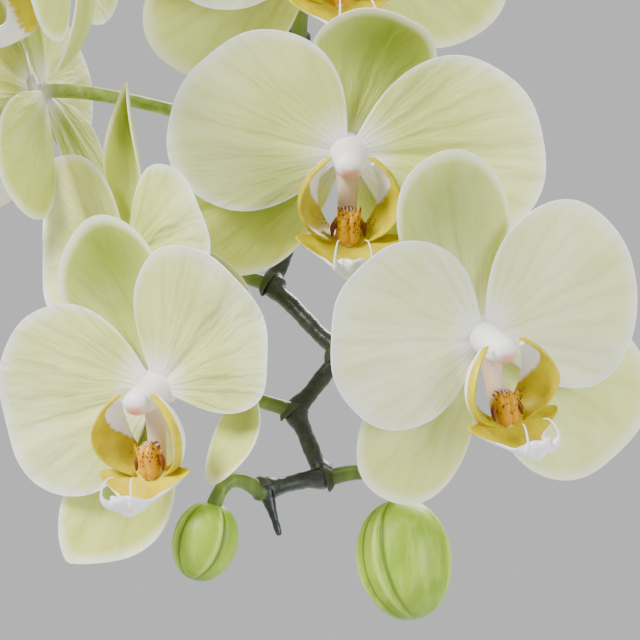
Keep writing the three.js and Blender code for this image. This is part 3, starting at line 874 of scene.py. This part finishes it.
def sepal_paint(start):
    rim, reach, ripe = start.marks("rim", "reach", "ripe")
    patch, face = start.marks("patch", "face")
    cloud = start.noise(55, 4)
    vein = veins(start, 30)
    fold = folds(start)
    pale = cloud.blend("e2e8ac", "d3dc88")
    deep = cloud.blend("c8d062", "b4be48")
    # Painted light in part: the ripe value pales a lit flower's sepals and deepens the cream and green patch
    # on a shaded one.
    cream = (ripe * 0.8).tint(pale, deep)
    green = (patch * (0.3 + ripe * 0.5 + cloud * 0.5 + vein * 0.15)).tint(cream, "76890c")
    green = (vein * 0.3).tint(green, "b4bd57")
    green = ((1 - face) * 0.5).tint(green, "c2cc62")
    colour = rim.rise(0.0, 0.08).tint("ecefd0", green)
    colour = (1 - reach.rise(0.05, 0.3)).tint(colour, "f0efe0")
    return fine_skin(start, colour, cloud, vein, fold)


tepal_rows, tepal_columns = 44, 72
living = dict(glow=0.45, spread=(1.0, 0.9, 0.45), deep=0.0022)
petal_skin = finish("petal", petal_paint, 0.3, **living)
sepal_skin = finish("sepal", sepal_paint, 0.3, **living)


def tepal_thickness(u, v):
    return 0.75 - 0.45 * unit(u * 1.02) ** 3


def tepal(kind, shape, own, seed, ripe):
    """The closed sheet of one sepal or petal, with a green patch where that kind has one."""
    shape = dict(shape, **own)
    surface, marks = tepal_surface(shape, 1.6 if kind == "petal" else 1.0, seed)
    reach, fan = marks["reach"], marks["fan"]
    if kind == "dorsal":
        marks["patch"] = lambda u, v: bell(reach(u, v), 0.8, 0.34) * bell(fan(u, v), 0, 0.44)
    elif kind == "side":
        marks["patch"] = lambda u, v: 0.75 * bell(reach(u, v), 0.36, 0.3) * bell(fan(u, v), 0.1, 0.3)
    marks["ripe"] = lambda u, v: np.full_like(u, ripe)
    return sheet(surface, tepal_thickness, tepal_rows, tepal_columns, marks)


for number, flower in enumerate(flowers, 1):
    frame_of = stand(flower["at"], flower["yaw"], flower["nod"], flower["lean"], flower["size"])
    for order, (part, kind, shape) in enumerate((
        ("dorsal_sepal", "dorsal", dorsal), ("left_lateral_sepal", "side", mirrored(side_sepal)),
        ("right_lateral_sepal", "side", side_sepal), ("left_petal", "petal", mirrored(petal)),
        ("right_petal", "petal", petal),
    )):
        grown = tepal(kind, shape, flower.get(part, {}), number * 10 + order, flower["ripe"])
        look, slot = (petal_skin, "petal") if kind == "petal" else (sepal_skin, "sepal")
        piece(f"bloom_{number}_{part}", [placed(frame_of, grown)], look, [f"flower_{number}_{part}"])


# The lips: waxy yellow and white. A claw runs down from the column's foot to a knobbly orange callus;
# two side lobes stand up round the column, and the keeled front lobe ends in two curled whiskers.


def side_lobe(side):
    """One of the two upright lobes, curved like a cupped hand beside the column."""
    stops = [(3.4, -20.8, 5), (8.2, -17.2, 6.4), (10.8, -11.4, 8.2), (9.4, -5.2, 9.2), (6, -1.2, 9.8)]
    steps = 200
    line = smooth_line(stops, steps)

    def surface(u, v):
        v = v * side
        share = unit(u)
        spot = np.stack([np.interp(share, np.linspace(0, 1, steps), line[:, k]) for k in range(3)], -1)
        half = 6.5 * unit(np.sin(math.pi * (0.16 + 0.82 * share))) ** 0.8
        flare = np.radians(40 - 22 * share)
        spot[..., 0] += np.sin(flare) * half * v - 1.9 * unit(v) ** 2.5 - 0.7 * unit(-v) ** 2
        spot[..., 1] += 0.9 * v * share
        spot[..., 2] += np.cos(flare) * half * v
        spot[..., 0] *= side
        return spot

    def gold_inside(u, v):
        v = v * side
        edge = 0.5 + 0.21 * (v + 1) + 0.15 * unit(v) ** 2
        return unit(0.5 - (u - edge) * 5)

    def gold_outside(u, v):
        return unit(np.maximum((v * side - 0.35) * 2.6, (0.4 - u) * 3.5))

    def freckle(u, v):
        return bell(u, 0.27, 0.17) * bell(v * side, -0.72, 0.42)

    return sheet(surface, lambda u, v: 1.3 - 0.85 * np.abs(v) ** 2.5, 40, 30, {
        "gold": (gold_outside, gold_inside), "freckle": (lambda u, v: 0 * u, freckle),
    })


def front_lobe():
    """The keeled front lobe: broad wings near its root, then a boat with white turned-up edges."""
    root, end = np.array((0, -20.4, 5.4)), np.array((0, -27.5, 23))

    def surface(u, v):
        t = unit(u)
        spot = root + (end - root) * t[..., None]
        boat = unit((t - 0.4) / 0.4)
        prow = unit((t - 0.7) / 0.3) ** 2
        spread = 7.4 * bell(t, 0.24, 0.15) + 5.0 * unit(1 - t ** 5) ** 0.5 + 0.4
        away = np.abs(v)
        spot[..., 0] = spread * v
        spot[..., 1] += -3.2 * np.sin(math.pi * t) + spread * away ** 1.6 * (0.4 + 0.3 * boat) + 3.6 * prow
        spot[..., 2] += 0.9 * np.sin(5 * v + 1.2) * away ** 2 * (1 - boat) - 1.2 * away ** 3 * boat
        return spot

    def gold_above(u, v):
        white_rim = unit((np.abs(v) - 0.7) * 4) * unit((u - 0.3) * 5)
        return unit(1.15 - white_rim) * (u < 0.93)

    def gold_below(u, v):
        return unit(1.5 - u * 3.2)

    return sheet(surface, lambda u, v: 1.6 - 1.1 * np.abs(v) ** 2, 48, 38, {
        "gold": (gold_above, gold_below), "freckle": lambda u, v: 0.5 * bell(u, 0, 0.14) * bell(v, 0, 0.5),
    })


def lump(centre, size, rough, marks):
    """A closed rounded lump, made uneven by a few waves."""
    rows, sides = [], 28
    a = full_turn(sides)
    for t in np.linspace(0.04, math.pi - 0.04, 20):
        swell = 1 + rough * (np.sin(3 * a + 5 * t) + 0.7 * np.sin(5 * a - 4 * t) + 0.6 * np.cos(7 * t))
        across, up = np.sin(t) ** 0.6, -np.sign(np.cos(t)) * abs(np.cos(t)) ** 0.85
        rows.append(np.stack([across * np.cos(a) * swell, np.full(sides, up), across * np.sin(a) * swell], 1))
    points = np.concatenate(rows) * np.array(size) / 2 + np.array(centre)
    faces = [tuple(reversed(face)) for face in skin(len(rows), sides, capped=True)]
    return points, faces, dict(marks, side=points[:, 0])


callus_corner = (1.5, -15.4, 8.2), (2.2, -13.6, 9.0), (2.7, -12.2, 9.2)
callus_spur = (2.2, -15.6, 6.2), (3.7, -17.2, 7.2), (3.9, -19.2, 7.6)
whisker = (
    (2.4, -25.8, 19.8), (3.7, -24.9, 21.8), (4.3, -23.0, 22.9), (4.1, -20.8, 22.5), (3.5, -19.0, 20.8),
    (2.9, -18.9, 19.0),
)


def lip_shells():
    claw = smooth_line([(0, -2.6, 2.6), (0, -8, 2.6), (0, -14, 3.4), (0, -20, 5.6)], 30)
    width = np.interp(np.linspace(0, 1, 30), [0, 0.3, 0.6, 1], [3.0, 2.5, 2.3, 3.1])
    points, faces, _ = limb(claw, width, 20)
    shells = [(points, faces, {"blush": 1.0}), side_lobe(1), side_lobe(-1), front_lobe()]
    shells.append(lump((0, -13.9, 6.0), (4.8, 3.2, 4.6), 0.04, {"stripe": 1.0, "blush": 1.0}))
    for side in (1, -1):
        flip = (side, 1, 1)
        orange = {"gold": 1.0, "fire": 1.0}
        points, faces, marks = lump((side * 0.9, -17.2, 7.0), (3.7, 8.6, 5.8), 0.035, orange)
        shells.append((points, faces, dict(marks, freckle=np.clip((points[:, 1] + 20.4) / 3.5, 0, 0.9))))
        for stops, thick, thin, rust, rusting in (
            (callus_corner, 1.25, 0.2, 0.0, 0.8), (callus_spur, 1.2, 0.3, 0.4, 1.0),
        ):
            line = smooth_line(np.array(stops) * flip, 14)
            points, faces, marks = limb(line, np.linspace(thick, thin, 14), 14)
            rusty = {"gold": 1.0, "fire": 0.9, "freckle": 1.0, "rust": rust + rusting * marks["run"]}
            shells.append((points, faces, rusty))
        taper = np.interp(np.linspace(0, 1, 48), [0, 0.25, 0.45, 1], [1.6, 0.95, 0.3, 0.1])
        points, faces, _ = limb(smooth_line(np.array(whisker) * flip, 48), taper, 12)
        shells.append((points, faces, {}))
    return shells


def hanging(flower):
    """The frame of a flower's lip and column, which may lean from that of its sepals and petals."""
    lean = flower["lean"] + flower.get("lip_lean", 0)
    return stand(flower["at"], flower["yaw"], flower["nod"], lean, flower["size"])


def lip_paint(start):
    gold, fire, freckle = start.marks("gold", "fire", "freckle")
    blush, stripe, rust, across = start.marks("blush", "stripe", "rust", "side")
    cloud = start.noise(240, 4)
    fray = start.noise(700)
    spots = start.node("TexVoronoi", {}, {"Vector": start.node("TexCoord", output="Object"), "Scale": 1150.0})
    dots = (1 - spots.rise(0.25, 0.42)) * (freckle + (cloud - 0.5) * 0.7).rise(0.45, 0.75)
    yellow = cloud.blend("d4c400", "bca600")
    white = blush.tint("f4eff3", "dcc0a8")
    colour = (gold + (fray - 0.5) * 0.5).rise(0.35, 0.65).tint(white, yellow)
    colour = fire.tint(colour, "d49a00")
    bars = start.maths("SINE", across * 7.5 + cloud * 3).rise(-0.5, 0.3) * stripe
    colour = (bars * 0.95).tint(colour, "6a2430")
    colour = (rust.rise(0.35, 0.9) * 0.9).tint(colour, "5e2410")
    colour = (dots * 0.9).tint(colour, "7c1f0c")
    return colour, 0.36 + cloud * 0.14, start.bumps(cloud, 0.0003, 0.5)


lip_skin = finish("lip", lip_paint, 0.3, glow=0.12, spread=(1.0, 0.7, 0.25), deep=0.0008)
for number, flower in enumerate(flowers, 1):
    lip = [placed(hanging(flower), shell) for shell in lip_shells()]
    piece(f"bloom_{number}_lip", lip, lip_skin, [f"flower_{number}_lip"])


# The columns with their stalks: the white column leans out over the lip and ends in a rounded cap, blushed
# peach, over the hollow that catches pollen. Behind the flower it narrows into a ribbed green stalk.


def column_shell():
    """The column with its hood, hollowed on its underside below the cap."""
    length, foot, sides, lean = 13, 1.6, 40, math.radians(13)
    rows, cap = [], []
    angle = full_turn(sides)
    stations = np.linspace(0, 1, 48)
    width = np.interp(
        stations, [0, 0.06, 0.14, 0.3, 0.5, 0.72, 0.84, 0.93, 0.98, 1],
        [5.4, 5.1, 4.4, 4.0, 3.7, 3.7, 3.5, 2.8, 1.6, 0.3],
    )
    below = angle - 1.5 * math.pi
    for t, r in zip(stations, width):
        hollow = bell(t, 0.68, 0.1) * bell(below, 0, 0.6)
        wings = bell(t, 0.62, 0.18) * bell(np.abs(below), 0.95, 0.35)
        groove = 1 - 0.08 * bell(t, 0.79, 0.02)
        x, y = np.cos(angle) * r * groove, np.sin(angle) * r * 0.92 * groove + hollow * 1.9 - wings * 0.9
        rows.append(np.stack([x, y, np.full(sides, -foot + (length + foot) * t)], 1))
        blush = np.exp(-((np.cos(angle) * r / 2.5) ** 4) - ((np.sin(angle) * r + 1.5) / 1.7) ** 4)
        cap.append(unit((t - 0.8) / 0.06) * blush)
    turn = np.array(Matrix.Rotation(lean, 3, "X"))
    shape = skin(len(rows), sides, capped=True)
    return np.concatenate(rows) @ turn.T, shape, {"cap": np.concatenate(cap), "stalk": 0.0}


def stem(frame_of, joint, start, back, widths, first_mark):
    """The stalk of a flower or bud: straight back at first, then across to its joint on the spike."""
    straight, steps, clear = 15, 60, 1.6
    start, back, joint = (np.array(p, float) for p in (start, back, frame_of.inverted() @ Vector(joint)))
    reach = joint - start
    end = joint - reach / np.linalg.norm(reach) * clear
    away = start + back * straight
    near = end + (away - end) * 0.35
    t = np.linspace(0, 1, steps)[:, None]
    line = (1 - t) ** 3 * start + 3 * (1 - t) ** 2 * t * away + 3 * (1 - t) * t * t * near + t ** 3 * end
    points, faces, marks = limb(line, np.interp(np.linspace(0, 1, steps), *widths), 20)
    return points, faces, {"stalk": first_mark + (1 - first_mark) * marks["run"]}


def column_paint(start):
    cap, stalk_mark = start.marks("cap", "stalk")
    cloud = start.noise(200)
    white = cloud.blend("f6f2f2", "efe6e6")
    white = (cap * 0.95).tint(white, "e59b80")
    lines = start.noise(300, roughness=0.6)
    green = lines.rise(0.35, 0.7).tint("7f9434", "a5b45c")
    green = stalk_mark.rise(0.55, 1.0).tint(green, "55662a")
    colour = stalk_mark.rise(0.02, 0.16).tint(white, green)
    return colour, 0.36 + cloud * 0.12, start.bumps(lines, 0.0002, 0.5)


column_skin = finish("column", column_paint, 0.45, glow=0.3, spread=(1.0, 0.8, 0.6), deep=0.0015)
column_stalk = [0, 0.1, 0.5, 0.93, 1], [2.3, 2.0, 1.8, 1.9, 2.3]
for number, flower in enumerate(flowers, 1):
    name = f"{number}_column_and_stalk"
    frame_of = hanging(flower)
    ribbed = stem(frame_of, joints[flower["joint"]], (0, 0, 0.5), (0, 0, -1), column_stalk, 0.02)
    grown = [placed(frame_of, shell) for shell in (column_shell(), ribbed)]
    piece(f"bloom_{name}", grown, column_skin, [f"flower_{name}"])


# The buds: two unopened flowers hanging by their stalks, egg-shaped, lime green, closed by sepals whose
# edges meet in raised seams that wind down to a blunt tip.

buds = [
    dict(
        name="large_bud", at=(186, -66, 340.6), length=30, width=23, lean=8, nod=0,
        dark=0.2, seams=((4.02, 0.2, 0.85), (3.4, 0.1, 1.15), (6.0, 0.0, -0.7), (1.7, 0.1, 0.5)),
    ),
    dict(
        name="small_bud", at=(136.9, -75, 345.8), length=19.5, width=16, lean=-14, nod=4,
        dark=0.9, seams=((5.25, -0.1, -1.2), (3.7, 0.0, 0.4), (1.4, 0.1, 0.4)),
    ),
]


def bud_shell(bud):
    """The closed bud: each seam winds down it, a rolled edge beside a groove."""
    half, rings, sides = bud["length"] / 2, 76, 128
    rows, seams, down = [], [], []
    angle = full_turn(sides)
    for a in np.linspace(0.03, math.pi - 0.03, rings):
        t = 1 - a / math.pi
        full = 1 + 0.1 * math.cos(a) - 0.06 * math.sin(2 * a)
        r = bud["width"] / 2 * math.sin(a) ** 0.85 * full ** 0.3 * (1 - 0.16 * t ** 5)
        ridge, step = np.zeros(sides), np.zeros(sides)
        for start_at, drift, hook in bud["seams"]:
            d = (angle - start_at - drift * t - hook * t ** 5 + math.pi) % (2 * math.pi) - math.pi
            ridge += bell(d, -0.07, 0.09) - 0.9 * bell(d, 0.1, 0.07)
            step += 0.45 * np.where(d < 0, np.exp(d / 0.35), 0)
        fade = math.sin(a) ** 0.6
        reach = r * (1 + 0.06 * (ridge + step) * fade)
        height = np.full(sides, -half * math.cos(a))
        rows.append(np.stack([reach * np.cos(angle), height, -reach * np.sin(angle)], 1))
        seams.append(ridge)
        down.append(np.full(sides, t))
    points = np.concatenate(rows)
    return points, skin(rings, sides, capped=True), {
        "seam": np.concatenate(seams), "down": np.concatenate(down), "dark": bud["dark"], "stalk": 0.0,
    }


def bud_paint(start):
    seam, down, dark, stalk_mark = start.marks("seam", "down", "dark", "stalk")
    cloud = start.noise(90)
    streak = start.noise(500, 4, stretch=(1, 1, 0.12))
    lime = cloud.blend("7fa012", "9dba2a")
    lime = (streak.rise(0.45, 0.75) * 0.45).tint(lime, "c4da60")
    # Painted highlight along the raised edge of each seam, and painted shade in the groove beside it.
    lime = (seam.rise(0.2, 0.9) * 0.55).tint(lime, "c8da6a")
    lime = ((0.0 - seam).rise(0.15, 0.75) * 0.75).tint(lime, "4f6c10")
    lime = (down.rise(0.55, 0.98) * 0.8).tint(lime, "6c8a14")
    lime = (down.rise(0.75, 1.0) * dark).tint(lime, "3f5212")
    green = streak.rise(0.35, 0.7).tint("5a7022", "7f9438")
    green = stalk_mark.rise(0.5, 1.0).tint(green, "4c5a24")
    colour = stalk_mark.rise(0.0, 0.1).tint(lime, green)
    return colour, 0.4 + cloud * 0.12, start.bumps(streak, 0.0003, 0.5)


bud_skin = finish("bud", bud_paint, 0.45, glow=0.3, spread=(0.8, 1.0, 0.25), deep=0.002)
bud_stalk = [0, 0.15, 0.6, 0.93, 1], [2.1, 1.75, 1.9, 2.1, 2.5]
for bud in buds:
    frame_of = stand(bud["at"], 0, bud["nod"], bud["lean"], 1)
    foot = (0, bud["length"] / 2 - 2, 0)
    neck = stem(frame_of, joints[bud["name"]], foot, (0, 0.8, 0), bud_stalk, 0.06)
    grown = [placed(frame_of, shell) for shell in (bud_shell(bud), neck)]
    piece(bud["name"] + "_grown", grown, bud_skin, [bud["name"]])
